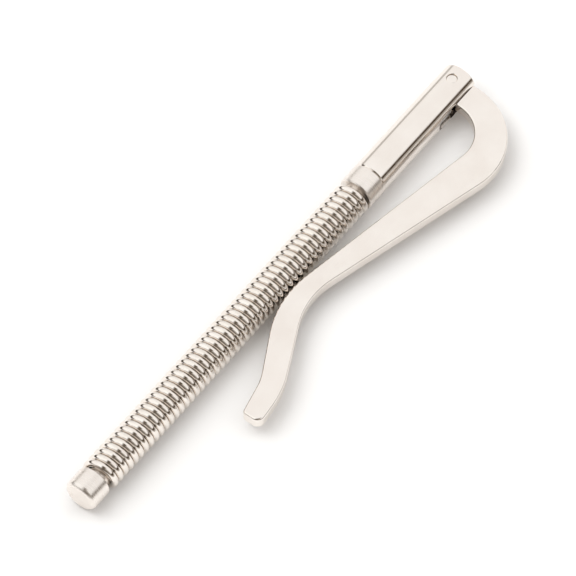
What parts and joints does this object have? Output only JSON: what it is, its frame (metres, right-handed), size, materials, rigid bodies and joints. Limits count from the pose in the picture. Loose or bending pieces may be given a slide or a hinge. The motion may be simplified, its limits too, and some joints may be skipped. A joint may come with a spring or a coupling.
{
  "type": "wallet spring clip bar",
  "caption": "Slim spring bar for a bifold wallet's spine, with a hooked flat arm hinged in a slotted head sleeve that swings out and springs back to hold notes.",
  "frame": {"origin": "centre of the end cap's flat outer face, on the bar's axis", "axes": "+X along the bar from the end cap to the hinge, +Z along the hinge pin, the clip arm lies flat on the -Y side"},
  "size_m": [0.0802, 0.0149, 0.005],
  "materials": {
    "nickel_plate": "polished nickel plate on steel",
    "nickel_satin": "fine turned nickel plate",
    "spring_wire": "nickel-plated drawn spring wire",
    "plain_steel": "plain turned steel, lightly oiled"
  },
  "bodies": {
    "bar": {"head_sleeve": "nickel_plate", "collar": "nickel_satin", "hinge_pin": "nickel_plate", "coil_spring": "spring_wire"},
    "arm": {"clip_arm": "nickel_plate"},
    "plunger": {"end_cap": "nickel_satin", "push_rod": "plain_steel", "follower": "plain_steel"}
  },
  "joints": [
    {"name": "arm_hinge", "type": "hinge", "parent": "bar", "child": "arm", "pos_m": [0.0781, 0, 0], "axis": [0, 0, 1], "range_deg": [0, 90], "stiffness_Nm_per_rad": 0.005, "springref_deg": -85.94},
    {"name": "rod_slide", "type": "slide", "parent": "bar", "child": "plunger", "axis": [1, 0, 0], "range_m": [-0.00054, 0], "deforming": ["coil_spring"]}
  ],
  "couplings": [
    {"joint": "rod_slide", "follows": "arm_hinge", "m_per_rad": -0.00034093}
  ]
}
